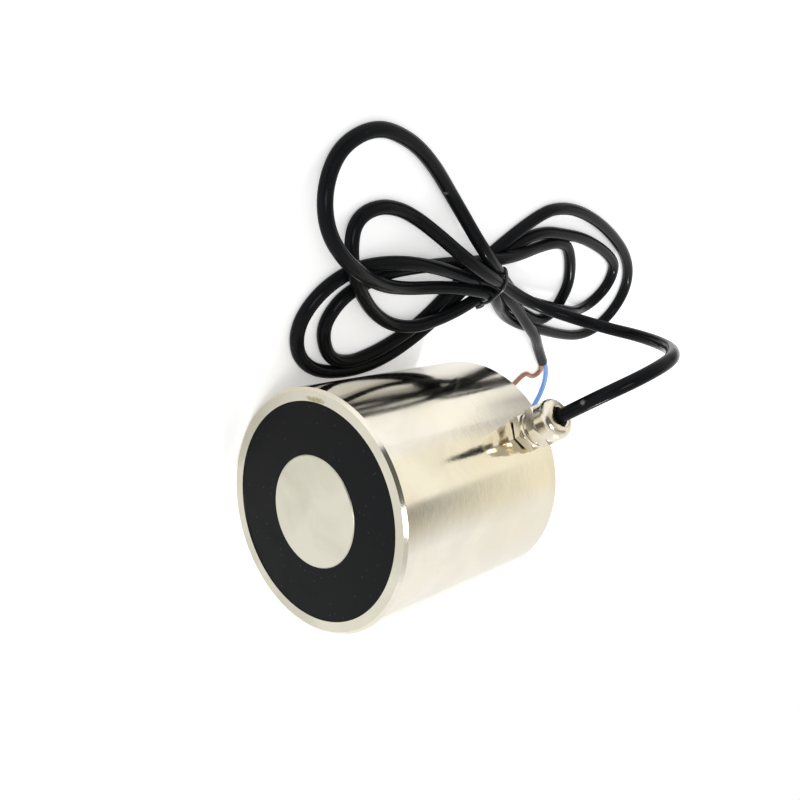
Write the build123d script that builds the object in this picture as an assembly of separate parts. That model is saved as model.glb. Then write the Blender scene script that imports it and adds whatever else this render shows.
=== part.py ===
from build123d import *
import math
import os

# Lifting electromagnet: a pot magnet 80 mm across and 80 mm long, with its two-core
# lead tied in a loose hank. It lies on its side, as it is photographed.
# The origin is the middle of the holding face. +Y runs along the magnet's axis into
# the body and +Z is up, so the table is at -body_d / 2.

# Pot and core, in millimetres
body_d = 80.0
body_len = 80.0
wall = 4.3
base_t = 8.0
rim_chamfer = 1.0
back_chamfer = 1.5
pole_d = 36.8
pole_chamfer = 0.3
spigot_d = 26.0
mount_tap_d = 8.5
mount_depth = 16.0
tap_cone = 2.4
mount_chamfer = 0.8

# Coil and its former
face_recess = 0.3
potting_t = 4.5
former_clearance = 0.25
former_wall = 1.5
flange_t = 2.0
flange_clearance = 0.3
winding_margin = 2.2
tape_t = 0.5
chamber_clearance = 1.5
washer_t = 1.0
notch_d = 2.4

# Cable gland, in the side of the barrel near its back
gland_angle = 148.6
gland_thread_d = 10.0
gland_thread_len = 7.0
gland_turn = 6.0
gasket_ring = 0.5
gasket_t = 0.4
body_hex = 12.8
body_hex_t = 2.6
hex_bevel_angle = 35.0
shoulder_t = 1.3
neck_ledge = 1.0
neck_t = 1.7
cap_hex = 14.0
cap_hex_t = 3.8
cap_nose_d = 14.2
cap_nose_t = 6.0
nose_round = 3.0
cap_front_t = 1.6
cap_hole_d = 7.0
hole_bevel = 0.4
cable_clearance = 0.3
seal_d = 7.6
seal_taper = 0.6
claw_t = 1.0
claw_slots = 6
claw_slot_w = 0.8
claw_slot_t = 3.0

# Two-core lead
cord_d = 4.8
lead_run = 14.5
core_d = 2.1
brown_run = 6.0
blue_run = 7.0
strand_d = 1.2
strand_len = 8.0
core_pitch = 2.3
core_drop = 5.5
joint_run = 4.0
sleeve_d = 3.6
sleeve_len = 11.0
lead_wire_d = 1.1
lead_wire_run = 4.4

# Hank and the tie round its bundle
hank_clearance = 2.0
bundle_w = 14.8
bundle_h = 10.8
tie_t = 1.2
tie_w = 1.5
tie_place = (-62.4, 90.0, -30.15)
tie_heading = (0.12, 0.84, 0.52)
lug_d = 2.2
lug_len = 3.6
lug_fall = 22.0

# Sizes that follow from the ones above
body_r = body_d / 2
bore_r = body_r - wall
pole_r = pole_d / 2
spigot_r = spigot_d / 2
cord_r = cord_d / 2
base_y = body_len - base_t
washer_back = base_y - gland_thread_d - chamber_clearance
gland_y = base_y - gland_thread_d / 2
chamber_r = (pole_r + bore_r) / 2
sheath_end_r = chamber_r + core_drop
cap_thread_d = seal_d + 2 * claw_t
neck_d = cap_thread_d + 2 * neck_ledge
gasket_d = gland_thread_d + 2 * gasket_ring
former_front = face_recess + potting_t
former_back = washer_back - washer_t
former_r = pole_r + former_clearance
tube_r = former_r + former_wall
flange_r = bore_r - flange_clearance
winding_r = flange_r - winding_margin
wind_front = former_front + flange_t
wind_back = former_back - flange_t
floor_z = -body_r
core_z = floor_z + core_d / 2


def turned(points):
    """A piece turned about the magnet's axis, from its (radius, y) outline."""
    outline = make_face(Polyline(*points, close=True))
    return revolve(outline, axis=Axis.Y)


def ring(inner_r, outer_r, y_start, y_end):
    """A plain ring about the magnet's axis."""
    return turned([(inner_r, y_start), (outer_r, y_start), (outer_r, y_end), (inner_r, y_end)])


# The gland is drawn upright, with z = 0 on the barrel, and then set in its place.
gland_axis = Vector(math.cos(math.radians(gland_angle)), 0, math.sin(math.radians(gland_angle)))
gland_plane = Plane(
    origin=Vector(0, gland_y, 0) + gland_axis * body_r,
    x_dir=(0, 1, 0),
    z_dir=gland_axis,
)
hex_start = gasket_t
shoulder_start = hex_start + body_hex_t
neck_start = shoulder_start + shoulder_t
cap_start = neck_start + neck_t
nose_start = cap_start + cap_hex_t
mouth = nose_start + cap_nose_t
seal_start = neck_start
claw_end = mouth - cap_front_t
bore_gland = cord_r + cable_clearance


def spun(points):
    """A piece turned about the gland's axis, from its (radius, height) outline."""
    outline = make_face(Plane.XZ * Polyline(*points, close=True))
    return revolve(outline, axis=Axis.Z)


def in_gland(piece):
    """Set a piece from the gland's upright drawing in its place on the barrel."""
    return gland_plane.location * piece


def hexagon(across_flats, height, z_start, foot_bevelled):
    """A hexagon turned in the gland's angle, its corners bevelled by a turning cut on top and maybe below."""
    corner_r = across_flats / math.sqrt(3)
    flat_r = across_flats / 2
    bevel = math.tan(math.radians(hex_bevel_angle)) * (corner_r - flat_r)
    top = z_start + height
    sketch = RegularPolygon(radius=corner_r, side_count=6, rotation=gland_turn)
    prism = Pos(0, 0, z_start) * extrude(sketch, height)
    foot = [(corner_r, z_start)]
    if foot_bevelled:
        foot = [(flat_r, z_start), (corner_r, z_start + bevel)]
    return prism & spun([(0, z_start), *foot, (corner_r, top - bevel), (flat_r, top), (0, top)])


def make_pot_shell():
    """The steel pot: barrel, base and the hole for the gland's thread."""
    shell = turned([
        (bore_r, 0),
        (body_r - rim_chamfer, 0),
        (body_r, rim_chamfer),
        (body_r, body_len - back_chamfer),
        (body_r - back_chamfer, body_len),
        (spigot_r, body_len),
        (spigot_r, base_y),
        (bore_r, base_y),
    ])
    hole = in_gland(Pos(0, 0, -wall) * Cylinder(gland_thread_d / 2, 3 * wall))
    return shell - hole


def make_centre_core():
    """The steel core: pole face in front, spigot pressed in the base, tapped at the back."""
    tap_r = mount_tap_d / 2
    return turned([
        (0, 0),
        (pole_r - pole_chamfer, 0),
        (pole_r, pole_chamfer),
        (pole_r, base_y),
        (spigot_r, base_y),
        (spigot_r, body_len),
        (tap_r + mount_chamfer, body_len),
        (tap_r, body_len - mount_chamfer),
        (tap_r, body_len - mount_depth),
        (0, body_len - mount_depth - tap_cone),
    ])


def lead_notches(y_start, y_end):
    """Two holes near the rim of a flange, which the coil's ends pass through."""
    cuts = []
    for place in (brown_notch, blue_notch):
        x, z = place
        cuts.append(Pos(x, (y_start + y_end) / 2, z) * Rot(90, 0, 0) * Cylinder(notch_d / 2, y_end - y_start))
    return cuts


def make_former():
    """The moulded former: a tube on the core with a flange at each end."""
    former = turned([
        (former_r, former_front),
        (flange_r, former_front),
        (flange_r, wind_front),
        (tube_r, wind_front),
        (tube_r, wind_back),
        (flange_r, wind_back),
        (flange_r, former_back),
        (former_r, former_back),
    ])
    return former - lead_notches(wind_back, former_back)


def make_washer():
    """The fibre washer that keeps the joints off the former's back flange."""
    washer = ring(former_r, flange_r, former_back, washer_back)
    return washer - lead_notches(former_back, washer_back)


def make_gland_body():
    """The gland's body: thread in the barrel, hexagon, rounded shoulder and neck."""
    thread_r = gland_thread_d / 2
    neck_r = neck_d / 2
    shoulder_r = body_hex / 2
    stem = spun([
        (bore_gland, -gland_thread_len),
        (thread_r, -gland_thread_len),
        (thread_r, hex_start),
        (shoulder_r, hex_start),
        (shoulder_r, shoulder_start + shoulder_t * 0.4),
        (shoulder_r - 0.15 * shoulder_t, shoulder_start + shoulder_t * 0.8),
        (neck_r, neck_start),
        (neck_r, cap_start),
        (cap_thread_d / 2, cap_start),
        (cap_thread_d / 2, nose_start),
        (seal_d / 2, nose_start),
        (seal_d / 2, seal_start),
        (bore_gland, seal_start),
    ])
    hexed = hexagon(body_hex, body_hex_t, hex_start, foot_bevelled=False)
    hexed = hexed - Pos(0, 0, hex_start) * Cylinder(thread_r, 4 * body_hex_t)
    return in_gland(stem + hexed)


def make_gland_gasket():
    """The rubber ring under the hexagon, moulded to the barrel's curve."""
    disc = Pos(0, 0, hex_start - wall / 2) * Cylinder(gasket_d / 2, wall)
    bore = Cylinder(gland_thread_d / 2, 4 * wall)
    barrel = Pos(0, body_len / 2, 0) * Rot(90, 0, 0) * Cylinder(body_r, body_len)
    return in_gland(disc - bore) - barrel


def make_gland_seal():
    """The rubber bush that grips the sheath."""
    seal_r = seal_d / 2
    return in_gland(spun([
        (cord_r, seal_start),
        (seal_r, seal_start),
        (seal_r, nose_start),
        (seal_r - seal_taper, claw_end),
        (cord_r, claw_end),
    ]))


def make_gland_claw():
    """The slotted nylon ring that the cap presses on the seal."""
    seal_r = seal_d / 2
    claw = spun([
        (seal_r, nose_start),
        (cap_thread_d / 2, nose_start),
        (cap_thread_d / 2, claw_end),
        (seal_r - seal_taper, claw_end),
    ])
    for slot in PolarLocations(0, claw_slots):
        claw = claw - slot * Pos(seal_d / 2, 0, claw_end) * Box(seal_d / 2, claw_slot_w, 2 * claw_slot_t)
    return in_gland(claw)


def make_gland_cap():
    """The domed cap nut, one turned piece with a hexagon on its lower half."""
    nose_r = cap_nose_d / 2
    hole_r = cap_hole_d / 2
    hexed = hexagon(cap_hex, cap_hex_t, cap_start, foot_bevelled=True)
    arc_in = nose_r - nose_round * (1 - math.cos(math.pi / 4))
    arc_up = mouth - nose_round * (1 - math.sin(math.pi / 4))
    side = Line((0, nose_start), (nose_r, nose_start))
    wall_line = Line((nose_r, nose_start), (nose_r, mouth - nose_round))
    round_arc = ThreePointArc((nose_r, mouth - nose_round), (arc_in, arc_up), (nose_r - nose_round, mouth))
    front = Polyline(
        (nose_r - nose_round, mouth),
        (hole_r + hole_bevel, mouth),
        (0, mouth),
        (0, nose_start),
    )
    nose = revolve(make_face(Plane.XZ * Curve([side, wall_line, round_arc, front])), axis=Axis.Z)
    bore = spun([
        (0, cap_start),
        (cap_thread_d / 2, cap_start),
        (cap_thread_d / 2, claw_end),
        (hole_r, claw_end),
        (hole_r, mouth - hole_bevel),
        (hole_r + hole_bevel, mouth),
        (0, mouth),
    ])
    return in_gland(hexed + nose - bore)


def around(radius, angle, y):
    """A point in the wiring chamber, by its radius and angle about the magnet's axis."""
    turn = math.radians(angle)
    return Vector(radius * math.cos(turn), y, radius * math.sin(turn))


# Angles that each inner core turns through round the chamber, from the gland to its last bend
# and to its joint. The joint lies as a chord, with both ends at the chamber's middle radius.
inner_steps = (0.0, 34.0)
joint_step = 68.0


def sleeve_ends(side):
    """Both ends of the sleeve over a joint."""
    y = gland_y + side * core_pitch / 2
    angle = gland_angle - side * joint_step
    turn = side * math.degrees(2 * math.asin(sleeve_len / (2 * chamber_r)))
    return around(chamber_r, angle, y), around(chamber_r, angle - turn, y)


def sleeve_heading(side):
    """The direction of a joint, away from the core and towards the coil's end."""
    start, end = sleeve_ends(side)
    return (end - start).normalized()


def inner_points(side):
    """The corners of one inner core: out of the sheath, round the chamber and up to its joint."""
    y = gland_y + side * core_pitch / 2
    points = [around(sheath_end_r, gland_angle, y)]
    for step in inner_steps:
        points.append(around(chamber_r, gland_angle - side * step, y))
    joint = sleeve_ends(side)[0]
    return points + [joint - sleeve_heading(side) * joint_run, joint]


def notch_place(side):
    """Where a coil's end goes through the flange: just past its sleeve."""
    place = sleeve_ends(side)[1] + sleeve_heading(side) * lead_wire_run
    return place.X, place.Z


brown_notch = notch_place(1)
blue_notch = notch_place(-1)


def bend_radii(points):
    """The largest arcs that the runs of a route leave room for."""
    radii = []
    for before, corner, after in zip(points, points[1:], points[2:]):
        turn = math.radians((corner - before).get_angle(after - corner))
        run = min((corner - before).length, (after - corner).length)
        radii.append(0.45 * run / math.tan(turn / 2))
    return radii


def tube(points, diameter, label):
    """A round cord along straight runs joined by tangent arcs."""
    points = [Vector(*p) for p in points]
    radii = bend_radii(points)
    path = FilletPolyline(*points, radius=radii)
    start = Plane(origin=points[0], z_dir=(points[1] - points[0]))
    solid = sweep(start * Circle(diameter / 2), path=path)
    section = math.pi * diameter ** 2 / 4
    shown = ", ".join(f"{r:.1f}" for r in radii)
    print(f"{label}: length {path.length:.1f}, volume ratio {solid.volume / (section * path.length):.4f},"
          f" radii {shown}")
    return solid


def straight(start, end, diameter):
    """A straight round piece between two points."""
    plane = Plane(origin=start, z_dir=(end - start))
    return plane.location * Pos(0, 0, (end - start).length / 2) * Cylinder(diameter / 2, (end - start).length)


def make_inner_core(side, label):
    """A core inside the wiring chamber, from the sheath to its joint."""
    return tube(inner_points(side), core_d, label)


def make_sleeve(side):
    """The insulating sleeve over the joint of a core and a coil's end."""
    start, end = sleeve_ends(side)
    return straight(start, end, sleeve_d)


def make_coil_lead(side, label):
    """A coil's end: out of the sleeve and through the flange to the winding."""
    start, end = sleeve_ends(side)
    x, z = notch_place(side)
    points = [end, Vector(x, end.Y, z), Vector(x, wind_back, z)]
    return tube(points, lead_wire_d, label)


# The lead leaves the gland straight, arches over and comes down to the tie.
mouth_point = Vector(0, gland_y, 0) + gland_axis * (body_r + mouth)
lead_points = [
    mouth_point,
    mouth_point + gland_axis * lead_run,
    (-71.5, 76.0, 43.0),
    (-76.5, 90.5, 43.5),
    (-75.5, 107.0, 39.5),
    (-70.5, 122.0, 30.0),
    (-65.0, 131.0, 15.0),
    (-59.5, 131.5, -1.0),
    (-57.0, 123.0, -18.0),
    (-57.5, 109.5, -27.0),
]

# The free end of the lead runs from the bundle to where the sheath is stripped.
tail_points = [
    (-57.0, 106.0, -30.5),
    (-45.5, 126.0, -32.5),
    (-31.0, 149.0, -36.0),
    (-12.0, 174.0, floor_z + cord_r),
]
sheath_end = Vector(*tail_points[-1])
sheath_run = (sheath_end - Vector(*tail_points[-2])).normalized()
sheath_side = Vector(sheath_run.Y, -sheath_run.X, 0).normalized() * core_pitch / 2
brown_start = sheath_end + sheath_side
blue_start = sheath_end - sheath_side

# The two cores lie on the table and end behind the magnet's back.
brown_points = [
    brown_start,
    brown_start + sheath_run * brown_run,
    (-3.5, 181.0, core_z),
    (1.0, 180.0, core_z),
    (2.5, 175.5, core_z),
    (-0.5, 170.0, core_z),
    (-1.5, 163.5, core_z),
    (5.0, 156.5, core_z),
    (12.5, 149.5, core_z),
    (18.0, 141.0, core_z),
    (20.0, 131.5, core_z),
]
blue_points = [
    blue_start,
    blue_start + sheath_run * blue_run,
    (-3.0, 187.0, core_z),
    (5.0, 191.5, core_z),
    (15.5, 193.5, core_z),
    (27.0, 190.0, core_z),
    (36.5, 182.0, core_z),
    (43.0, 171.0, core_z),
    (45.0, 159.5, core_z),
]


def strand(points):
    """The stripped copper at the end of a core."""
    before, end = Vector(*points[-2]), Vector(*points[-1])
    heading = (end - before).normalized()
    return straight(end, end + heading * strand_len, strand_d)


# Outline of the hank on the table, from its waist round the four loops on one side of
# the tie and then round the three on the other
hank_outline = [
    (-78, 92), (-81, 76), (-93, 60), (-107, 40), (-116, 18), (-115, -2), (-104, -11), (-90, -11),
    (-77, -4), (-66, 2), (-54, 0), (-42, 2), (-30, 9), (-23, 22), (-22, 38), (-26, 54),
    (-37, 68), (-46, 84), (-47, 100), (-41, 118), (-33, 138), (-28, 157), (-24, 178), (-23, 196),
    (-26, 211), (-35, 217), (-46, 220), (-59, 216), (-70, 203), (-81, 181), (-90, 156), (-95, 133),
    (-94, 114), (-85, 102),
]
# Height of the hank over the table along the magnet's axis, as (y, height)
hank_heights = [
    (-16, 12), (-6, 13), (14, 13.5), (36, 11), (54, 17), (70, 17.5),
    (90, 14.5), (112, 13), (136, 9.5), (162, 7), (190, 5.4), (222, 5),
]


def tie_plane():
    """The plane of the tie, leaning over the bundle, with x level across it."""
    heading = Vector(*tie_heading).normalized()
    return Plane(origin=tie_place, x_dir=heading.cross(Vector(0, 0, 1)), z_dir=heading)


def make_tie():
    """The thin tie round the bundle, with the short twisted lug at its foot."""
    band = extrude(SlotOverall(bundle_w + 2 * tie_t, bundle_h + 2 * tie_t), tie_w / 2, both=True)
    band -= extrude(SlotOverall(bundle_w, bundle_h), tie_w, both=True)
    lug = Rot(0, 0, -lug_fall) * Pos(bundle_w / 2 + (tie_t + lug_len) / 2, 0, 0)
    lug = lug * Rot(0, 90, 0) * Cylinder(lug_d / 2, lug_len)
    return tie_plane().location * (band + lug)


def make_hank():
    """The loops of the lead as one closed form of their outer shape."""
    outline = make_face(Spline(*hank_outline, periodic=True))
    prism = Pos(0, 0, floor_z) * extrude(outline, body_r, dir=(0, 0, 1))
    top = [(y, floor_z + height) for y, height in hank_heights]
    crown = Spline(*top)
    foot = Polyline(top[-1], (top[-1][0], floor_z), (top[0][0], floor_z), top[0])
    profile = make_face(Plane.YZ * Curve([crown, foot]))
    sheet = Pos(-2 * body_d, 0, 0) * extrude(profile, 2 * body_d, dir=(1, 0, 0))
    reach = body_r + hank_clearance
    clear = Pos(0, body_len / 2, 0) * Rot(90, 0, 0) * Cylinder(reach, body_len + 2 * hank_clearance)
    return (prism & sheet) - clear - make_tie()


def build():
    """Make every piece and write one file for each."""
    inlet_start = Vector(0, gland_y, 0) + gland_axis * sheath_end_r
    sheath_plane = Plane(origin=inlet_start, z_dir=gland_axis)
    inlet_len = body_r + mouth - sheath_end_r
    inlet = sheath_plane.location * Pos(0, 0, inlet_len / 2) * Cylinder(cord_r, inlet_len)
    pieces = {
        "pot_shell": make_pot_shell(),
        "centre_core": make_centre_core(),
        "face_potting": ring(pole_r, bore_r, face_recess, former_front),
        "coil_former": make_former(),
        "coil_winding": ring(tube_r, winding_r, wind_front, wind_back),
        "winding_tape": ring(winding_r, winding_r + tape_t, wind_front, wind_back),
        "fibre_washer": make_washer(),
        "gland_gasket": make_gland_gasket(),
        "gland_body": make_gland_body(),
        "gland_seal": make_gland_seal(),
        "gland_claw": make_gland_claw(),
        "gland_cap": make_gland_cap(),
        "inlet_sheath": inlet,
        "inner_core_brown": make_inner_core(1, "inner brown core"),
        "inner_core_blue": make_inner_core(-1, "inner blue core"),
        "joint_sleeve_brown": make_sleeve(1),
        "joint_sleeve_blue": make_sleeve(-1),
        "coil_end_start": make_coil_lead(1, "coil start"),
        "coil_end_finish": make_coil_lead(-1, "coil finish"),
        "lead_arch": tube(lead_points, cord_d, "lead from gland to tie"),
        "lead_hank": make_hank(),
        "lead_tail": tube(tail_points, cord_d, "lead from tie to stripped end"),
        "core_brown": tube(brown_points, core_d, "brown core"),
        "core_blue": tube(blue_points, core_d, "blue core"),
        "strand_brown": strand(brown_points),
        "strand_blue": strand(blue_points),
        "hank_tie": make_tie(),
    }
    os.makedirs("parts", exist_ok=True)
    for name, piece in pieces.items():
        export_step(piece, f"parts/{name}.step")


build()
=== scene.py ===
import math

import bpy
from mathutils import Matrix, Vector


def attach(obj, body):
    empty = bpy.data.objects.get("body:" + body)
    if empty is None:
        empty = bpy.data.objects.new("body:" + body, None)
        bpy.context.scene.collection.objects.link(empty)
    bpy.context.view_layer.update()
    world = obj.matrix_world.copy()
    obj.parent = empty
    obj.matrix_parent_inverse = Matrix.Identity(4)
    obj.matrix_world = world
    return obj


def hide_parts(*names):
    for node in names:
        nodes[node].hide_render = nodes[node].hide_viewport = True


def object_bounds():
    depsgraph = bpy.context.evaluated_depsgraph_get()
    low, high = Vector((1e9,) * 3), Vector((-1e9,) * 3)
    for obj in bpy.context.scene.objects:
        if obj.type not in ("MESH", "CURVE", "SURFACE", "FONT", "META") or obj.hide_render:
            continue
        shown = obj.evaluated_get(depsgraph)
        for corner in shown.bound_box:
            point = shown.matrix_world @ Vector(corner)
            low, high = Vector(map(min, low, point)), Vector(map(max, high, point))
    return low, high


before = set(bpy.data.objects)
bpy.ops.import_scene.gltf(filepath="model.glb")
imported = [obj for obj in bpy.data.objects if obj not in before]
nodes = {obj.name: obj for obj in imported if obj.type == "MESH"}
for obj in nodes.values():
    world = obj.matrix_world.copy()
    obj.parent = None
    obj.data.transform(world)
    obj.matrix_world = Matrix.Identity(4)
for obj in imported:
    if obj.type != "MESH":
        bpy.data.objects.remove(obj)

cad_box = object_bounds()


# Pot: the magnet's barrel, outer pole and base in one piece of low-carbon steel. It is turned, its
# barrel is polished, its end faces are ground, and then it is nickel plated all over. The thin plate
# keeps the fine grain of the steel and has gone a little yellow in patches.
plate_bright = "F5F0E5"
plate_yellow = "EEE5CE"
plate_grey = "E8E2D4"
ground_bright = "D8D4C4"
ground_grey = "CECAB9"
barrel_roughness = (0.09, 0.19)
ground_roughness = (0.36, 0.52)
# How much of a normal lies along Y where the ground finish starts. The pot's chamfer stays polished,
# and the core's bevel is ground with its face
pot_ground_from = 0.90
core_ground_from = 0.50
ground_edge = 0.07
# Sizes of the patterns in millimetres, and the part of its noise over which each one grows to full.
# The real grain is too fine to show, so it is drawn coarser
cloud_size = 60.0
cloud_range = (0.38, 0.66)
patch_size = 22.0
patch_range = (0.42, 0.72)
wave_size = 2.5
turning_pitch = 0.9
grain_size = 0.35
# Strength of each pattern's bump, and its depth in metres
turning_relief = (0.025, 0.0002)
wave_relief = (0.045, 0.0004)
grain_relief = (0.05, 0.0001)
# A rubbed stain at the rim's inner edge: its middle and reach in metres, and its flecks in millimetres
stain_olive = "A9A37C"
stain_place = Vector((-0.0330, 0.0, -0.0156))
stain_along = 0.0046
stain_across = 0.0011
fleck_size = 1.2
fleck_share = 1.6
stain_range = (1.9, 0.9)


def linear(hex_colour):
    """Linear RGBA of an sRGB colour written as six hex digits."""
    parts = [int(hex_colour[i:i + 2], 16) / 255 for i in (0, 2, 4)]
    return [c / 12.92 if c <= 0.04045 else ((c + 0.055) / 1.055) ** 2.4 for c in parts] + [1.0]


def per_metre(size_mm):
    """How often a feature of that size in millimetres fits in a metre, which is a pattern's scale here."""
    return 1000 / size_mm


def add_node(tree, kind, inputs=None, **options):
    """Adds a node with its options and inputs. A socket given as an input is linked, a value is written.

    Inputs go by name, or by number where names repeat. In a mix 0 is the factor, 2 and 3 are numbers
    with output 0, and 6 and 7 are colours with output 2. In a map range 0 is the value, 1 and 2 are where
    it comes from, and 3 and 4 where it goes to, which is 0 to 1 where nothing else is said.
    """
    node = tree.nodes.new(kind)
    for option, value in options.items():
        setattr(node, option, value)
    for name, value in (inputs or {}).items():
        if isinstance(value, bpy.types.NodeSocket):
            tree.links.new(value, node.inputs[name])
        else:
            node.inputs[name].default_value = value
    return node


def new_material(name):
    """A material with an empty node tree, and that tree."""
    material = bpy.data.materials.new(name)
    material.use_nodes = True
    material.node_tree.nodes.clear()
    return material, material.node_tree


def finish_material(tree, shader):
    """Links a shader to the material's output."""
    add_node(tree, "ShaderNodeOutputMaterial", {"Surface": shader.outputs[0]})


def dress(material, *names):
    """Puts a material on CAD nodes, in place of the plain one they came with."""
    for name in names:
        mesh = nodes[name].data
        mesh.materials.clear()
        mesh.materials.append(material)


def nickel_on_steel(name, ground_from):
    """Nickel plate: polished, and ground where more of the normal than that limit lies along Y."""
    material, tree = new_material(name)
    place = add_node(tree, "ShaderNodeTexCoord").outputs["Object"]
    normal = add_node(tree, "ShaderNodeNewGeometry").outputs["Normal"]
    along_y = add_node(tree, "ShaderNodeSeparateXYZ", {0: normal}).outputs["Y"]
    end_on = add_node(tree, "ShaderNodeMath", {0: along_y}, operation="ABSOLUTE").outputs[0]
    ground = add_node(tree, "ShaderNodeMapRange", {
        0: end_on, 1: ground_from, 2: ground_from + ground_edge}).outputs[0]

    clouds = add_node(tree, "ShaderNodeTexNoise", {
        "Vector": place, "Scale": per_metre(cloud_size), "Detail": 3.0}).outputs["Fac"]
    patches = add_node(tree, "ShaderNodeTexNoise", {
        "Vector": place, "Scale": per_metre(patch_size), "Detail": 5.0, "Roughness": 0.55,
        "Distortion": 0.6}).outputs["Fac"]
    cloud = add_node(tree, "ShaderNodeMapRange", {
        0: clouds, 1: cloud_range[0], 2: cloud_range[1]}).outputs[0]
    patch = add_node(tree, "ShaderNodeMapRange", {
        0: patches, 1: patch_range[0], 2: patch_range[1]}).outputs[0]
    warm = add_node(tree, "ShaderNodeMix", {
        0: cloud, 6: linear(plate_bright), 7: linear(plate_yellow)}, data_type="RGBA").outputs[2]
    barrel = add_node(tree, "ShaderNodeMix", {
        0: patch, 6: warm, 7: linear(plate_grey)}, data_type="RGBA").outputs[2]
    flat = add_node(tree, "ShaderNodeMix", {
        0: patch, 6: linear(ground_bright), 7: linear(ground_grey)}, data_type="RGBA").outputs[2]
    base = add_node(tree, "ShaderNodeMix", {0: ground, 6: barrel, 7: flat}, data_type="RGBA").outputs[2]

    # The stain is a short arc of the rim, broken up by flecks
    outward = stain_place.normalized()
    round_rim = outward.cross(Vector((0, 1, 0)))
    from_stain = add_node(tree, "ShaderNodeVectorMath", {
        0: place, 1: stain_place}, operation="SUBTRACT").outputs[0]
    along = add_node(tree, "ShaderNodeVectorMath", {
        0: from_stain, 1: round_rim / stain_along}, operation="DOT_PRODUCT").outputs["Value"]
    across = add_node(tree, "ShaderNodeVectorMath", {
        0: from_stain, 1: outward / stain_across}, operation="DOT_PRODUCT").outputs["Value"]
    along_squared = add_node(tree, "ShaderNodeMath", {0: along, 1: along}, operation="MULTIPLY").outputs[0]
    reach = add_node(tree, "ShaderNodeMath", {
        0: across, 1: across, 2: along_squared}, operation="MULTIPLY_ADD").outputs[0]
    flecks = add_node(tree, "ShaderNodeTexNoise", {
        "Vector": place, "Scale": per_metre(fleck_size), "Detail": 3.0}).outputs["Fac"]
    ragged = add_node(tree, "ShaderNodeMath", {
        0: flecks, 1: fleck_share, 2: reach}, operation="MULTIPLY_ADD").outputs[0]
    stain = add_node(tree, "ShaderNodeMapRange", {0: ragged, 1: stain_range[0], 2: stain_range[1]}).outputs[0]
    stain_on_face = add_node(tree, "ShaderNodeMath", {0: stain, 1: ground}, operation="MULTIPLY").outputs[0]
    colour = add_node(tree, "ShaderNodeMix", {
        0: stain_on_face, 6: base, 7: linear(stain_olive)}, data_type="RGBA").outputs[2]

    polished = add_node(tree, "ShaderNodeMapRange", {
        0: patch, 3: barrel_roughness[0], 4: barrel_roughness[1]}).outputs[0]
    matt = add_node(tree, "ShaderNodeMapRange", {
        0: patch, 3: ground_roughness[0], 4: ground_roughness[1]}).outputs[0]
    roughness = add_node(tree, "ShaderNodeMix", {0: ground, 2: polished, 3: matt}).outputs[0]

    # Turning marks run round the axis, so they vary along it alone
    rings = add_node(tree, "ShaderNodeVectorMath", {
        0: place, 1: (0.0, per_metre(turning_pitch), 0.0)}, operation="MULTIPLY").outputs[0]
    turning = add_node(tree, "ShaderNodeTexNoise", {
        "Vector": rings, "Scale": 1.0, "Detail": 2.0}).outputs["Fac"]
    waves = add_node(tree, "ShaderNodeTexNoise", {
        "Vector": place, "Scale": per_metre(wave_size), "Detail": 2.0}).outputs["Fac"]
    grain = add_node(tree, "ShaderNodeTexNoise", {
        "Vector": place, "Scale": per_metre(grain_size), "Detail": 2.0}).outputs["Fac"]
    surface = {}
    for height, (strength, depth) in ((turning, turning_relief), (waves, wave_relief), (grain, grain_relief)):
        bump = add_node(tree, "ShaderNodeBump", {
            "Height": height, "Strength": strength, "Distance": depth, **surface})
        surface = {"Normal": bump.outputs[0]}
    finish_material(tree, add_node(tree, "ShaderNodeBsdfPrincipled", {
        "Base Color": colour, "Metallic": 1.0, "Roughness": roughness, **surface}))
    return material


dress(nickel_on_steel("nickel_plate_on_pot", pot_ground_from), "pot_shell")
dress(nickel_on_steel("nickel_plate_on_core", core_ground_from), "centre_core")


# Mounting thread: an M10 thread, cut with a tap in the hole in the middle of the back. The CAD hole is
# plain, so the ridge of the thread is laid in it here as a fine helix, with the pot's own finish.
thread_pitch = 0.0015
thread_radius = 0.00425
thread_mouth = 0.0786
thread_end = 0.0650
ridge_diameter = 0.0008
steps_per_turn = 16


def new_curve(name, diameter, roundness):
    """A curve that draws as a round bar of that diameter, still with no spline in it."""
    curve = bpy.data.curves.new(name, "CURVE")
    curve.dimensions = "3D"
    curve.bevel_depth = diameter / 2
    curve.bevel_resolution = roundness
    curve.use_fill_caps = True
    return curve


def add_spline(curve, kind, places):
    """Adds a spline with those points to a curve."""
    spline = curve.splines.new(kind)
    spline.points.add(len(places) - 1)
    for point, place in zip(spline.points, places):
        point.co = (*place, 1.0)
    return spline


def put_in_scene(name, data):
    """An object of that mesh, curve, lamp or camera, linked to the scene."""
    thing = bpy.data.objects.new(name, data)
    bpy.context.scene.collection.objects.link(thing)
    return thing


ridge_places = []
for step in range(round((thread_mouth - thread_end) / thread_pitch * steps_per_turn) + 1):
    turns = step / steps_per_turn
    angle = 2 * math.pi * turns
    inward = thread_mouth - thread_pitch * turns
    ridge_places.append((thread_radius * math.cos(angle), inward, thread_radius * math.sin(angle)))
ridge = new_curve("mounting_thread", ridge_diameter, roundness=2)
add_spline(ridge, "POLY", ridge_places)
ridge.materials.append(nodes["pot_shell"].data.materials[0])
thread = put_in_scene("mounting_thread", ridge)
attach(thread, "root")


# Coil: enamelled copper wound on a moulded nylon former, taped over, with a fibre washer behind it.
# It is sealed in the pot, so its pieces have their true finish but little of it shows. The wire's
# turns lie side by side and give the winding its fine ribs.
wire_pitch = 0.9
tape_width = 6.0
rib_cloud_size = 8.0
rib_relief = (0.5, 0.0003)
mottle_depth = 0.0002
# The part of a noise over which a plastic or a plating goes from its glossiest to its dullest
gloss_range = (0.3, 0.7)


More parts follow.
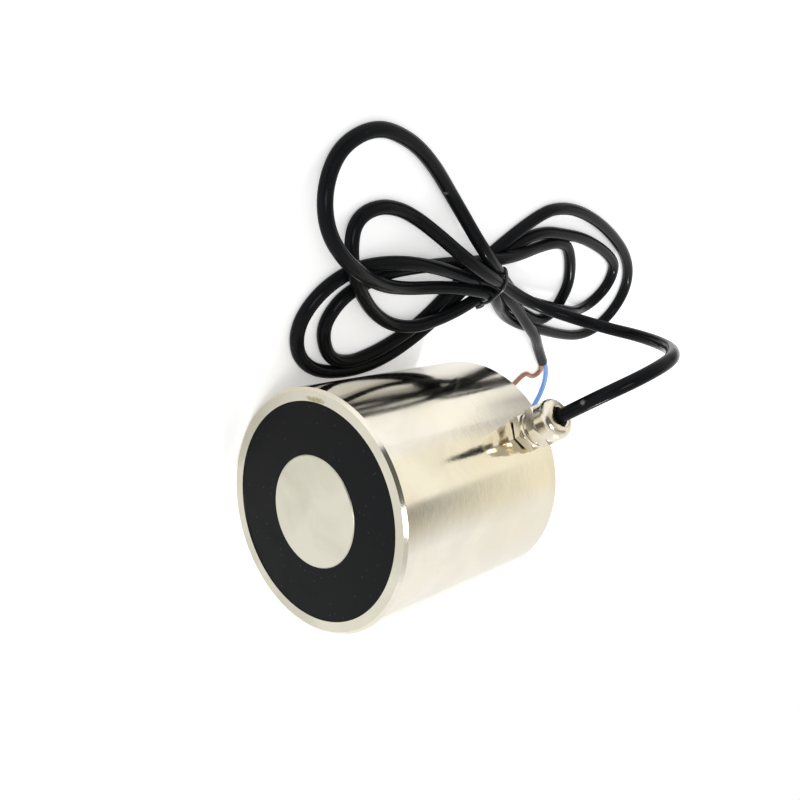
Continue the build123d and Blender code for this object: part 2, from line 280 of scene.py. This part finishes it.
def ribbed(name, colours, pitch, roughness, metallic):
    """A material with fine ribs round the magnet's axis, such as turns of wire or the edges of tape."""
    material, tree = new_material(name)
    place = add_node(tree, "ShaderNodeTexCoord").outputs["Object"]
    # At a scale of 1 a wave texture has a little over three bands to the metre
    ribs = add_node(tree, "ShaderNodeTexWave", {
        "Vector": place, "Scale": per_metre(pitch) / math.pi, "Distortion": 0.2}, bands_direction="Y")
    clouds = add_node(tree, "ShaderNodeTexNoise", {
        "Vector": place, "Scale": per_metre(rib_cloud_size), "Detail": 3.0})
    colour = add_node(tree, "ShaderNodeMix", {
        0: clouds.outputs["Fac"], 6: linear(colours[0]), 7: linear(colours[1])}, data_type="RGBA")
    bump = add_node(tree, "ShaderNodeBump", {
        "Height": ribs.outputs["Fac"], "Strength": rib_relief[0], "Distance": rib_relief[1]})
    finish_material(tree, add_node(tree, "ShaderNodeBsdfPrincipled", {
        "Base Color": colour.outputs[2], "Metallic": metallic, "Roughness": roughness,
        "Normal": bump.outputs[0]}))
    return material


def mottled(name, colours, size, roughness, strength=0.15, metallic=0.0):
    """A material whose colour, gloss and surface vary gently at one size, such as moulded or cast plastic."""
    material, tree = new_material(name)
    place = add_node(tree, "ShaderNodeTexCoord").outputs["Object"]
    clouds = add_node(tree, "ShaderNodeTexNoise", {
        "Vector": place, "Scale": per_metre(size), "Detail": 4.0}).outputs["Fac"]
    colour = add_node(tree, "ShaderNodeMix", {
        0: clouds, 6: linear(colours[0]), 7: linear(colours[1])}, data_type="RGBA")
    gloss = add_node(tree, "ShaderNodeMapRange", {
        0: clouds, 1: gloss_range[0], 2: gloss_range[1], 3: roughness[0], 4: roughness[1]})
    bump = add_node(tree, "ShaderNodeBump", {
        "Height": clouds, "Strength": strength, "Distance": mottle_depth})
    finish_material(tree, add_node(tree, "ShaderNodeBsdfPrincipled", {
        "Base Color": colour.outputs[2], "Metallic": metallic, "Roughness": gloss.outputs[0],
        "Normal": bump.outputs[0]}))
    return material


dress(mottled("glass_filled_nylon", colours=("DAD5C2", "C9C3AE"), size=3.0, roughness=(0.45, 0.6)),
      "coil_former")
dress(ribbed("enamelled_copper_wire", colours=("9C4F2B", "7C3A1E"), pitch=wire_pitch,
             roughness=0.28, metallic=1.0),
      "coil_winding", "coil_end_start", "coil_end_finish")
dress(ribbed("amber_polyester_tape", colours=("D9A93A", "C4922B"), pitch=tape_width,
             roughness=0.3, metallic=0.0),
      "winding_tape")
dress(mottled("vulcanised_fibre", colours=("8A4030", "743226"), size=1.5, roughness=(0.55, 0.7)),
      "fibre_washer")
dress(mottled("heat_shrink_sleeve", colours=("1E1E20", "161618"), size=2.0, roughness=(0.5, 0.6)),
      "joint_sleeve_brown", "joint_sleeve_blue")


# Face potting: black epoxy resin poured between the poles over the coil and faced off with them.
# It sets smooth and satin, and keeps faint smudges and specks of dust from handling.
resin_black = "040507"
resin_smudge = "090B0E"
dust_pale = "4A4B4A"
resin_roughness = (0.36, 0.52)
resin_ior = 1.55
resin_specular = 0.10
# Sizes in millimetres, and the part of its noise over which each pattern grows to full
smudge_size = 16.0
smudge_range = (0.4, 0.7)
smudge_relief = (0.1, 0.0004)
speck_size = 2.2
speck_range = (0.10, 0.05)


def potting_resin():
    """Black epoxy: smudges change its gloss, and a few specks of pale dust lie on it."""
    material, tree = new_material("black_epoxy_resin")
    place = add_node(tree, "ShaderNodeTexCoord").outputs["Object"]
    smudges = add_node(tree, "ShaderNodeTexNoise", {
        "Vector": place, "Scale": per_metre(smudge_size), "Detail": 4.0, "Distortion": 1.2}).outputs["Fac"]
    smudge = add_node(tree, "ShaderNodeMapRange", {
        0: smudges, 1: smudge_range[0], 2: smudge_range[1]}).outputs[0]
    cells = add_node(tree, "ShaderNodeTexVoronoi", {"Vector": place, "Scale": per_metre(speck_size)})
    speck = add_node(tree, "ShaderNodeMapRange", {
        0: cells.outputs["Distance"], 1: speck_range[0], 2: speck_range[1]}).outputs[0]
    body = add_node(tree, "ShaderNodeMix", {
        0: smudge, 6: linear(resin_black), 7: linear(resin_smudge)}, data_type="RGBA").outputs[2]
    colour = add_node(tree, "ShaderNodeMix", {
        0: speck, 6: body, 7: linear(dust_pale)}, data_type="RGBA").outputs[2]
    gloss = add_node(tree, "ShaderNodeMapRange", {0: smudge, 3: resin_roughness[0], 4: resin_roughness[1]})
    bump = add_node(tree, "ShaderNodeBump", {
        "Height": smudges, "Strength": smudge_relief[0], "Distance": smudge_relief[1]})
    finish_material(tree, add_node(tree, "ShaderNodeBsdfPrincipled", {
        "Base Color": colour, "Roughness": gloss.outputs[0], "IOR": resin_ior,
        "Specular IOR Level": resin_specular, "Normal": bump.outputs[0]}))
    return material


dress(potting_resin(), "face_potting")


# Cable gland: a turned brass body screwed into the pot on a rubber gasket, and a cap nut that closes
# a slotted nylon claw and a rubber seal on the lead. Body and nut are bright nickel plated.
gland_bright = "F1EAD9"
gland_shade = "DED5C1"
gland_roughness = (0.15, 0.26)
gland_cloud_size = 4.0
tool_mark_size = 0.4
tool_mark_relief = (0.08, 0.0001)


def nickel_on_brass():
    """Bright nickel on turned brass: glossy, with the fine marks of the turning tool."""
    material, tree = new_material("bright_nickel_on_brass")
    place = add_node(tree, "ShaderNodeTexCoord").outputs["Object"]
    clouds = add_node(tree, "ShaderNodeTexNoise", {
        "Vector": place, "Scale": per_metre(gland_cloud_size), "Detail": 3.0}).outputs["Fac"]
    marks = add_node(tree, "ShaderNodeTexNoise", {
        "Vector": place, "Scale": per_metre(tool_mark_size), "Detail": 2.0}).outputs["Fac"]
    colour = add_node(tree, "ShaderNodeMix", {
        0: clouds, 6: linear(gland_bright), 7: linear(gland_shade)}, data_type="RGBA")
    gloss = add_node(tree, "ShaderNodeMapRange", {
        0: clouds, 1: gloss_range[0], 2: gloss_range[1], 3: gland_roughness[0], 4: gland_roughness[1]})
    bump = add_node(tree, "ShaderNodeBump", {
        "Height": marks, "Strength": tool_mark_relief[0], "Distance": tool_mark_relief[1]})
    finish_material(tree, add_node(tree, "ShaderNodeBsdfPrincipled", {
        "Base Color": colour.outputs[2], "Metallic": 1.0, "Roughness": gloss.outputs[0],
        "Normal": bump.outputs[0]}))
    return material


dress(nickel_on_brass(), "gland_body", "gland_cap")
dress(mottled("black_nitrile_rubber", colours=("1B1B1C", "141415"), size=1.2, roughness=(0.6, 0.75)),
      "gland_gasket", "gland_seal")
dress(mottled("black_nylon", colours=("222224", "1A1A1C"), size=1.5, roughness=(0.45, 0.55)),
      "gland_claw")


# Lead: two-core flexible cable in a round black PVC sheath, extruded with a soft sheen. It leaves the
# gland in an arch, is folded to and fro in a loose hank, and its loose end lies stripped on the table.
cord_diameter = 0.0048
gland_mouth = (-0.0476, 0.067, 0.0291)
table_z = cad_box[0][2]
lay = table_z + cord_diameter / 2
lead_route = [
    # Out of the gland and down in an arch to the tie
    gland_mouth, (-0.06, 0.067, 0.0366), (-0.0714, 0.0746, 0.043), (-0.0762, 0.0882, 0.0435),
    (-0.0752, 0.1007, 0.0395), (-0.0702, 0.1186, 0.03), (-0.0641, 0.1286, 0.0155),
    (-0.0581, 0.1291, 0.0), (-0.0551, 0.1214, -0.0155), (-0.0563, 0.1083, -0.0245),
    (-0.0644, 0.0873, -0.0264),
    # Small loop in front of the tie, and back under it
    (-0.0679, 0.0778, -0.025), (-0.0721, 0.0674, -0.0255), (-0.0765, 0.0575, -0.0285),
    (-0.0808, 0.0489, -0.033), (-0.0848, 0.0397, -0.0368), (-0.0874, 0.0309, lay),
    (-0.0881, 0.0224, lay), (-0.0858, 0.0159, lay), (-0.0815, 0.0126, -0.0368),
    (-0.0758, 0.0121, -0.0345), (-0.0694, 0.0142, -0.033), (-0.0602, 0.0219, -0.0328),
    (-0.0505, 0.034, -0.0345), (-0.044, 0.047, -0.035), (-0.0434, 0.0576, -0.033),
    (-0.0461, 0.0686, -0.0325), (-0.0497, 0.079, -0.0325), (-0.0556, 0.0911, -0.0331),
    # Inner loop behind the tie
    (-0.0532, 0.1007, -0.035), (-0.0497, 0.1113, -0.037), (-0.0457, 0.1213, lay), (-0.0406, 0.1342, lay),
    (-0.0367, 0.145, lay), (-0.0365, 0.1516, lay), (-0.0407, 0.1577, lay), (-0.0469, 0.1585, lay),
    (-0.0539, 0.1579, lay), (-0.0616, 0.1533, lay), (-0.0693, 0.1463, lay), (-0.0738, 0.1396, lay),
    (-0.0748, 0.1306, lay), (-0.0731, 0.1192, -0.037), (-0.0718, 0.1045, -0.034),
    (-0.0707, 0.0919, -0.0328), (-0.0691, 0.08, -0.034), (-0.0671, 0.0691, -0.037),
    # Inner loop beside the pot, crossing under the bundle
    (-0.0661, 0.0593, lay), (-0.0655, 0.0488, lay), (-0.0642, 0.038, lay), (-0.0609, 0.0297, lay),
    (-0.0571, 0.0227, lay), (-0.0523, 0.0186, lay), (-0.0451, 0.0166, lay), (-0.0375, 0.0195, lay),
    (-0.0301, 0.0262, lay), (-0.0277, 0.0363, lay), (-0.0302, 0.0459, lay), (-0.0341, 0.0544, lay),
    (-0.039, 0.0625, lay), (-0.0455, 0.0693, lay), (-0.0535, 0.0752, lay), (-0.0611, 0.0818, lay),
    (-0.069, 0.0895, lay), (-0.0758, 0.0968, lay), (-0.0812, 0.1033, lay), (-0.0861, 0.1103, lay),
    # Outer loop behind the tie
    (-0.0895, 0.1179, lay), (-0.0898, 0.1328, lay), (-0.0851, 0.154, lay), (-0.077, 0.1764, lay),
    (-0.0674, 0.1962, lay), (-0.0566, 0.2092, lay), (-0.0453, 0.2144, lay), (-0.0341, 0.2122, lay),
    (-0.026, 0.2032, lay), (-0.024, 0.1898, lay), (-0.0269, 0.171, lay), (-0.0312, 0.1529, lay),
    (-0.0347, 0.1368, lay), (-0.0391, 0.1236, lay), (-0.0454, 0.111, -0.035), (-0.0523, 0.0988, -0.0305),
    (-0.0588, 0.0885, -0.0285), (-0.0604, 0.0705, -0.031),
    # Wide loop in front of the tie, over the smaller ones
    (-0.06, 0.0587, -0.033), (-0.0595, 0.0464, -0.034), (-0.0631, 0.0293, -0.031),
    (-0.0701, 0.0127, -0.0277), (-0.0762, 0.0022, -0.0275), (-0.0829, -0.0047, -0.0295),
    (-0.0908, -0.0074, -0.0325), (-0.0984, -0.006, -0.036), (-0.1054, -0.003, lay),
    (-0.1105, 0.0027, lay), (-0.1125, 0.01, lay), (-0.1115, 0.0178, lay), (-0.1085, 0.0279, lay),
    (-0.1022, 0.0399, lay), (-0.0933, 0.0527, -0.037), (-0.0861, 0.0611, -0.0335),
    (-0.08, 0.0671, -0.029), (-0.074, 0.0756, -0.027), (-0.0654, 0.0905, -0.0293),
    # Middle loop behind the tie
    (-0.0526, 0.1137, -0.0328), (-0.0476, 0.1352, -0.0338), (-0.0448, 0.1502, -0.033),
    (-0.0422, 0.1638, -0.033), (-0.0403, 0.1761, -0.0365), (-0.0412, 0.1842, lay),
    (-0.0447, 0.1892, lay), (-0.0502, 0.193, lay), (-0.0564, 0.1931, lay), (-0.0625, 0.1898, lay),
    (-0.0666, 0.1829, lay), (-0.0711, 0.1714, lay), (-0.0766, 0.1514, lay), (-0.0786, 0.1336, lay),
    (-0.0795, 0.1197, lay), (-0.0767, 0.1084, lay), (-0.0714, 0.0996, lay), (-0.065, 0.0922, lay),
    (-0.0574, 0.085, lay), (-0.0495, 0.0795, lay), (-0.0416, 0.0735, lay),
    # Outer loop beside the pot
    (-0.0345, 0.0654, lay), (-0.0284, 0.0562, lay), (-0.0245, 0.0448, lay), (-0.024, 0.0313, lay),
    (-0.0264, 0.02, lay), (-0.0321, 0.0113, lay), (-0.0392, 0.0067, lay), (-0.0461, 0.0053, lay),
    (-0.0524, 0.0067, lay), (-0.0583, 0.0103, lay), (-0.063, 0.0158, lay), (-0.0666, 0.0219, -0.037),
    (-0.0692, 0.0287, -0.035), (-0.0705, 0.0365, -0.033), (-0.07, 0.0453, -0.0322),
    (-0.0687, 0.0546, -0.0316), (-0.0666, 0.0642, -0.0315), (-0.0642, 0.0739, -0.031),
    # Through the tie for the last time and out as the loose end
    (-0.0607, 0.0912, -0.032), (-0.0562, 0.1007, -0.0305), (-0.0512, 0.1103, -0.031),
    (-0.0452, 0.1208, -0.0318), (-0.0382, 0.1321, -0.0323), (-0.0303, 0.1453, -0.0335),
    (-0.0214, 0.1576, -0.0366), (-0.0115, 0.1703, lay),
]
sheath_black = "111214"
sheath_worn = "18191B"
sheath_dust = "2A2B2D"
sheath_roughness = 0.14
sheath_specular = 0.06
pvc_ior = 1.53
pvc_glossier = 0.04
pvc_duller = 0.06
# The waves that the die leaves, and the grain that dust lies in, in millimetres
die_wave_size = 9.0
die_wave_relief = (0.12, 0.0006)
dust_size = 0.8
dust_range = (0.66, 0.78)
dust_relief = (0.05, 0.0001)
# Two small places where the sheath is rubbed pale
scuff_pale = "8F8A86"
scuff_places = [(-0.0569, 0.0656, 0.0340), (-0.0947, 0.0480, -0.0360)]
scuff_reach = 0.0011
scuff_strength = 0.6


def lay_cord(name, points, diameter):
    """A round cord on one smooth spline with those control points."""
    curve = new_curve(name, diameter, roundness=6)
    curve.resolution_u = 8
    spline = add_spline(curve, "NURBS", points)
    spline.order_u = 3
    spline.use_endpoint_u = True
    return put_in_scene(name, curve)


def extruded_pvc(name, fresh, worn, dust, roughness, specular=0.5, scuffs=()):
    """PVC as it leaves the die: a soft sheen, faint waves, and a little pale dust from handling."""
    material, tree = new_material(name)
    place = add_node(tree, "ShaderNodeTexCoord").outputs["Object"]
    waves = add_node(tree, "ShaderNodeTexNoise", {
        "Vector": place, "Scale": per_metre(die_wave_size), "Detail": 3.0}).outputs["Fac"]
    fine = add_node(tree, "ShaderNodeTexNoise", {
        "Vector": place, "Scale": per_metre(dust_size), "Detail": 3.0}).outputs["Fac"]
    body = add_node(tree, "ShaderNodeMix", {
        0: waves, 6: linear(fresh), 7: linear(worn)}, data_type="RGBA").outputs[2]
    dusty = add_node(tree, "ShaderNodeMapRange", {0: fine, 1: dust_range[0], 2: dust_range[1]}).outputs[0]
    colour = add_node(tree, "ShaderNodeMix", {
        0: dusty, 6: body, 7: linear(dust)}, data_type="RGBA").outputs[2]
    for scuff in scuffs:
        gap = add_node(tree, "ShaderNodeVectorMath", {
            0: place, 1: scuff}, operation="DISTANCE").outputs["Value"]
        ragged = add_node(tree, "ShaderNodeMath", {
            0: fine, 1: scuff_reach, 2: gap}, operation="MULTIPLY_ADD").outputs[0]
        rubbed = add_node(tree, "ShaderNodeMapRange", {
            0: ragged, 1: 1.5 * scuff_reach, 2: scuff_reach, 4: scuff_strength}).outputs[0]
        colour = add_node(tree, "ShaderNodeMix", {
            0: rubbed, 6: colour, 7: linear(scuff_pale)}, data_type="RGBA").outputs[2]
    gloss = add_node(tree, "ShaderNodeMapRange", {
        0: waves, 1: gloss_range[0], 2: gloss_range[1],
        3: roughness - pvc_glossier, 4: roughness + pvc_duller})
    surface = {}
    for height, (strength, depth) in ((waves, die_wave_relief), (fine, dust_relief)):
        bump = add_node(tree, "ShaderNodeBump", {
            "Height": height, "Strength": strength, "Distance": depth, **surface})
        surface = {"Normal": bump.outputs[0]}
    finish_material(tree, add_node(tree, "ShaderNodeBsdfPrincipled", {
        "Base Color": colour, "Roughness": gloss.outputs[0], "IOR": pvc_ior,
        "Specular IOR Level": specular, **surface}))
    return material


sheath_pvc = extruded_pvc("black_pvc_sheath", sheath_black, sheath_worn, sheath_dust,
                          sheath_roughness, sheath_specular, scuff_places)
lead = lay_cord("lead", lead_route, cord_diameter)
lead.data.materials.append(sheath_pvc)
dress(sheath_pvc, "inlet_sheath")
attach(lead, "root")
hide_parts("lead_arch", "lead_hank", "lead_tail")


# Cores: the lead's two insulated wires, bared where the sheath is stripped. The brown one is kinked
# and the blue one bends in an arc, and both pass behind the barrel. Their ends are bare copper, six
# twisted wires each, drawn thicker and fewer than the real ones.
core_diameter = 0.0021
core_lay = table_z + core_diameter / 2
core_roughness = 0.38
brown_fresh = "B07C62"
brown_worn = "996650"
brown_dust = "C9A590"
blue_fresh = "6E9EE0"
blue_worn = "5E90D8"
blue_dust = "A8C3EA"
brown_length = 0.063
blue_length = 0.079
brown_start = (-0.0106, 0.1696, lay)
blue_start = (-0.0124, 0.1710, lay)
brown_route = [
    brown_start, (-0.0072, 0.1732, -0.0378), (-0.0050, 0.1753, -0.0386), (-0.0023, 0.1743, core_lay),
    (-0.0017, 0.1708, core_lay), (-0.0031, 0.1674, core_lay), (-0.0044, 0.1643, core_lay),
    (-0.0035, 0.1614, core_lay), (-0.0003, 0.1588, core_lay), (0.0058, 0.1540, core_lay),
    (0.0130, 0.1478, core_lay), (0.0182, 0.1405, core_lay), (0.0200, 0.1315, core_lay),
]
blue_route = [
    blue_start, (-0.0081, 0.1762, -0.0380), (-0.0029, 0.1820, -0.0388), (0.0050, 0.1866, core_lay),
    (0.0156, 0.1885, core_lay), (0.0268, 0.1856, core_lay), (0.0362, 0.1787, core_lay),
    (0.0426, 0.1693, core_lay), (0.0450, 0.1595, core_lay),
]
wire_count = 6
wire_diameter = 0.00042
wire_ring = 0.00040
wire_splay = 0.00030
wire_steps = 8


def twist_wires(name, start, strand):
    """One core's bare copper wires in the CAD strand's place, twisted and a little splayed at the tip."""
    surface = [strand.matrix_world @ vertex.co for vertex in strand.data.vertices]
    start = Vector(start)
    along = (sum(surface, Vector()) / len(surface) - start) * 2
    side = along.cross(Vector((0, 0, 1))).normalized()
    over = along.cross(side).normalized()
    curve = new_curve(name, wire_diameter, roundness=2)
    for wire in range(wire_count):
        places = []
        for step in range(wire_steps + 1):
            share = step / wire_steps
            angle = 2 * math.pi * (wire / wire_count + share)
            reach = wire_ring + wire_splay * share ** 2
            off_axis = side * math.cos(angle) * reach + over * math.sin(angle) * reach
            places.append(start + along * share + off_axis)
        spline = add_spline(curve, "NURBS", places)
        spline.order_u = 3
        spline.use_endpoint_u = True
    # A mesh, because the box of a curve with several short splines comes out too large
    drawn = put_in_scene(name, curve)
    bpy.context.view_layer.update()
    mesh = bpy.data.meshes.new_from_object(drawn.evaluated_get(bpy.context.evaluated_depsgraph_get()))
    bpy.data.objects.remove(drawn)
    wires = put_in_scene(name, mesh)
    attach(wires, "root")
    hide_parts(strand.name)
    return wires


bare_copper = mottled("bare_copper", colours=("D08A5C", "B66F45"), size=0.8, roughness=(0.25, 0.4),
                      strength=0.4, metallic=1.0)
brown_pvc = extruded_pvc("brown_pvc_insulation", brown_fresh, brown_worn, brown_dust, core_roughness)
blue_pvc = extruded_pvc("blue_pvc_insulation", blue_fresh, blue_worn, blue_dust, core_roughness)
for colour_name, route, pvc, length in (
        ("brown", brown_route, brown_pvc, brown_length),
        ("blue", blue_route, blue_pvc, blue_length)):
    core = lay_cord(colour_name + "_core", route, core_diameter)
    core.data.materials.append(pvc)
    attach(core, "root")
    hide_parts("core_" + colour_name)
    wires = twist_wires(colour_name + "_wires", route[-1], nodes["strand_" + colour_name])
    wires.data.materials.append(bare_copper)
    dress(pvc, "inner_core_" + colour_name)


# Tie: a thin black tie of plastic-coated wire, pulled round the bundle and the arch that runs over it
# and twisted shut at its foot. Its coating is glossier than the sheath, so it catches the light.
tie_diameter = 0.0012
twist_diameter = 0.0026
twist_taper = (0.6, 1.0, 0.6)
tie_ring = [
    (-0.0667, 0.0867, -0.0239), (-0.0678, 0.0879, -0.0255), (-0.0688, 0.0890, -0.0271),
    (-0.0690, 0.0902, -0.0290), (-0.0680, 0.0912, -0.0308), (-0.0663, 0.0917, -0.0320),
    (-0.0642, 0.0920, -0.0330), (-0.0621, 0.0923, -0.0339), (-0.0600, 0.0925, -0.0347),
    (-0.0579, 0.0927, -0.0355), (-0.0558, 0.0928, -0.0362), (-0.0536, 0.0925, -0.0361),
    (-0.0521, 0.0914, -0.0349), (-0.0515, 0.0902, -0.0331), (-0.0521, 0.0892, -0.0312),
    (-0.0535, 0.0884, -0.0296), (-0.0550, 0.0877, -0.0281), (-0.0566, 0.0870, -0.0266),
    (-0.0586, 0.0867, -0.0257), (-0.0606, 0.0864, -0.0247), (-0.0627, 0.0861, -0.0237),
    (-0.0648, 0.0860, -0.0231),
]
twist_route = [(-0.0522, 0.0907, -0.0311), (-0.0511, 0.0896, -0.0317), (-0.0500, 0.0885, -0.0323)]

tie_curve = new_curve("tie", tie_diameter, roundness=5)
for route, closed, diameters in (
        (tie_ring, True, [tie_diameter] * len(tie_ring)),
        (twist_route, False, [twist_diameter * share for share in twist_taper])):
    strand = add_spline(tie_curve, "NURBS", route)
    for point, diameter in zip(strand.points, diameters):
        point.radius = diameter / tie_diameter
    strand.order_u = 3
    strand.use_cyclic_u = closed
    strand.use_endpoint_u = not closed
# The coating's colours are dark grey rather than the tie's black: a painted sheen for the light it catches.
tie_curve.materials.append(
    mottled("tie_coating_painted_sheen", colours=("3A3A3D", "2C2C2F"), size=1.5, roughness=(0.18, 0.26)))
tie = put_in_scene("tie", tie_curve)
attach(tie, "root")
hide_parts("hank_tie")


# Studio: a white table that runs on to a white horizon, with a broad soft lamp behind the camera and a
# small one to the right of the magnet, which draws the streaks on the cords. What is polished also
# mirrors the dim parts of the room: the camera's side, a gap in the ceiling, and the table's far end.
floor_half = 6.0
floor_white = "F7F7F7"
# Light that the floor adds where it is seen, and where it is mirrored, and light of the sky on the object
floor_glow = 0.36
mirror_glow = 0.12
sky_light = 0.70
warm_white = "FFFBEC"
room_side = (-0.52, -0.69, 0.50)
# The far side: where it lies, the cosines between which it turns dim, how dim, and the metres from
# behind the barrel over which the table turns dim with it
far_side = (-0.40, 0.92, 0.0)
far_edge = (0.955, 0.985)
far_dark = 0.62
barrel_back = (-0.040, 0.070, table_z)
far_distance = (0.10, 0.25)
# Each lamp's name, the side it stands on, its power, and how wide it is in degrees
lamps = (
    ("broad_lamp", Vector((-0.30, -0.55, 0.78)), 0.72, 24.0),
    ("small_lamp", Vector((0.76, 0.20, 0.62)), 1.0, 8.0),
)


def seen_or_mirrored(tree):
    """One for the camera's rays and those that metal or glass sends on, and zero for soft light."""
    rays = add_node(tree, "ShaderNodeLightPath").outputs
    camera_or_glossy = add_node(tree, "ShaderNodeMath", {
        0: rays["Is Camera Ray"], 1: rays["Is Glossy Ray"]}, operation="ADD").outputs[0]
    return add_node(tree, "ShaderNodeMath", {
        0: camera_or_glossy, 1: rays["Is Transmission Ray"]}, operation="ADD", use_clamp=True).outputs[0]


floor_mesh = bpy.data.meshes.new("floor")
floor_mesh.from_pydata(
    [(x, y, table_z) for x, y in ((-floor_half, -floor_half), (floor_half, -floor_half),
                                  (floor_half, floor_half), (-floor_half, floor_half))], [], [(0, 1, 2, 3)])
floor = put_in_scene("floor", floor_mesh)
floor_material, floor_tree = new_material("white_table")
floor_rays = add_node(floor_tree, "ShaderNodeLightPath").outputs
glow_seen = add_node(floor_tree, "ShaderNodeMath", {
    0: floor_rays["Is Camera Ray"], 1: floor_glow - mirror_glow}, operation="MULTIPLY").outputs[0]
glow = add_node(floor_tree, "ShaderNodeMath", {
    0: seen_or_mirrored(floor_tree), 1: mirror_glow, 2: glow_seen}, operation="MULTIPLY_ADD").outputs[0]
# The far end of the table is dim, and only what is polished shows it so
floor_place = add_node(floor_tree, "ShaderNodeTexCoord").outputs["Object"]
from_barrel = add_node(floor_tree, "ShaderNodeVectorMath", {
    0: floor_place, 1: barrel_back}, operation="SUBTRACT").outputs[0]
way = add_node(floor_tree, "ShaderNodeVectorMath", {0: from_barrel}, operation="NORMALIZE").outputs[0]
towards_far = add_node(floor_tree, "ShaderNodeVectorMath", {
    0: way, 1: far_side}, operation="DOT_PRODUCT").outputs["Value"]
far_end = add_node(floor_tree, "ShaderNodeMapRange", {
    0: towards_far, 1: far_edge[0], 2: far_edge[1], 4: far_dark}).outputs[0]
distance = add_node(floor_tree, "ShaderNodeVectorMath", {0: from_barrel}, operation="LENGTH").outputs["Value"]
beyond = add_node(floor_tree, "ShaderNodeMapRange", {
    0: distance, 1: far_distance[0], 2: far_distance[1]}).outputs[0]
far_floor = add_node(floor_tree, "ShaderNodeMath", {0: far_end, 1: beyond}, operation="MULTIPLY").outputs[0]
far_mirrored = add_node(floor_tree, "ShaderNodeMath", {
    0: far_floor, 1: floor_rays["Is Glossy Ray"]}, operation="MULTIPLY").outputs[0]
floor_colour = add_node(floor_tree, "ShaderNodeMix", {
    0: far_mirrored, 6: linear(floor_white), 7: linear("000000")}, data_type="RGBA").outputs[2]
white = add_node(floor_tree, "ShaderNodeBsdfDiffuse", {"Color": floor_colour})
glowing = add_node(floor_tree, "ShaderNodeEmission", {"Color": linear("FFFFFF"), "Strength": glow})
finish_material(floor_tree, add_node(floor_tree, "ShaderNodeAddShader", {
    0: white.outputs[0], 1: glowing.outputs[0]}))
floor_mesh.materials.append(floor_material)

world = bpy.data.worlds.new("studio")
world.use_nodes = True
bpy.context.scene.world = world
sky = world.node_tree
sky.nodes.clear()
direction = add_node(sky, "ShaderNodeTexCoord").outputs["Generated"]
heading = add_node(sky, "ShaderNodeSeparateXYZ", {0: direction}).outputs
towards_room, towards_far_side = (
    add_node(sky, "ShaderNodeVectorMath", {0: direction, 1: side}, operation="DOT_PRODUCT").outputs["Value"]
    for side in (room_side, far_side))
sky_rays = add_node(sky, "ShaderNodeLightPath").outputs


def zone(full, edges):
    """A value that holds over a part of the sky: each edge is a measure, where it is none, and where full."""
    result = full
    for measure, none_at, full_at in edges:
        inside = add_node(sky, "ShaderNodeMapRange", {0: measure, 1: none_at, 2: full_at}).outputs[0]
        result = add_node(sky, "ShaderNodeMath", {0: inside, 1: result}, operation="MULTIPLY").outputs[0]
    return result


dimmed = 0.0
for darkness, edges in (
        # The camera's side of the room
        (0.88, ((towards_room, 0.76, 0.87),)),
        # The room in front of the holding face, above the table
        (0.35, ((heading["Z"], 0.02, 0.30), (heading["Y"], 0.50, 0.15), (heading["X"], 0.5, 0.2))),
        # The gap in the ceiling, which the top of the barrel mirrors
        (0.68, ((heading["X"], -0.40, -0.34), (heading["X"], 0.20, -0.25),
                (heading["Z"], 0.25, 0.5), (heading["Y"], 0.81, 0.71))),
        # The far end
        (far_dark, ((towards_far_side, *far_edge),))):
    dimmed = add_node(sky, "ShaderNodeMath", {
        0: dimmed, 1: zone(darkness, edges)}, operation="MAXIMUM").outputs[0]
mirrored = add_node(sky, "ShaderNodeMath", {
    0: dimmed, 1: sky_rays["Is Camera Ray"]}, operation="SUBTRACT", use_clamp=True).outputs[0]
lit = add_node(sky, "ShaderNodeMath", {0: 1.0, 1: mirrored}, operation="SUBTRACT").outputs[0]
strength = add_node(sky, "ShaderNodeMix", {0: seen_or_mirrored(sky), 2: sky_light, 3: lit}).outputs[0]
# The left of the sky is a little warm in what is polished
warmth = zone(sky_rays["Is Glossy Ray"], ((heading["X"], 0.10, -0.10), (heading["Z"], 0.0, 0.2)))
tint = add_node(sky, "ShaderNodeMix", {
    0: warmth, 6: linear("FFFFFF"), 7: linear(warm_white)}, data_type="RGBA").outputs[2]
background = add_node(sky, "ShaderNodeBackground", {"Color": tint, "Strength": strength})
add_node(sky, "ShaderNodeOutputWorld", {"Surface": background.outputs[0]})

for name, side, power, width in lamps:
    lamp = bpy.data.lights.new(name, "SUN")
    lamp.energy = power
    lamp.angle = math.radians(width)
    lamp_object = put_in_scene(name, lamp)
    lamp_object.location = side
    lamp_object.rotation_euler = (-side).to_track_quat("-Z", "Y").to_euler()


# Camera: close to the holding face and turned on its side, as the photograph was taken, so that the
# table runs up and to the left in the picture. Its place, turn and lens were worked out from the rim,
# the barrel's back edge and the thickness of the lead.
camera_place = Vector((-0.17537, -0.18562, 0.13933))
camera_right = Vector((-0.35603, 0.67339, 0.64791))
camera_up = Vector((-0.80394, 0.13272, -0.57971))
camera_back = camera_right.cross(camera_up).normalized()
frame_pixels = 800
focal_pixels = 904.9

camera = bpy.data.cameras.new("camera")
camera.sensor_width = 36.0
camera.lens = camera.sensor_width * focal_pixels / frame_pixels
camera.clip_start = 0.01
camera_object = put_in_scene("camera", camera)
turned = Matrix((camera_right, camera_back.cross(camera_right), camera_back)).transposed().to_4x4()
camera_object.matrix_world = Matrix.Translation(camera_place) @ turned
bpy.context.scene.camera = camera_object
bpy.context.scene.view_settings.view_transform = "Standard"
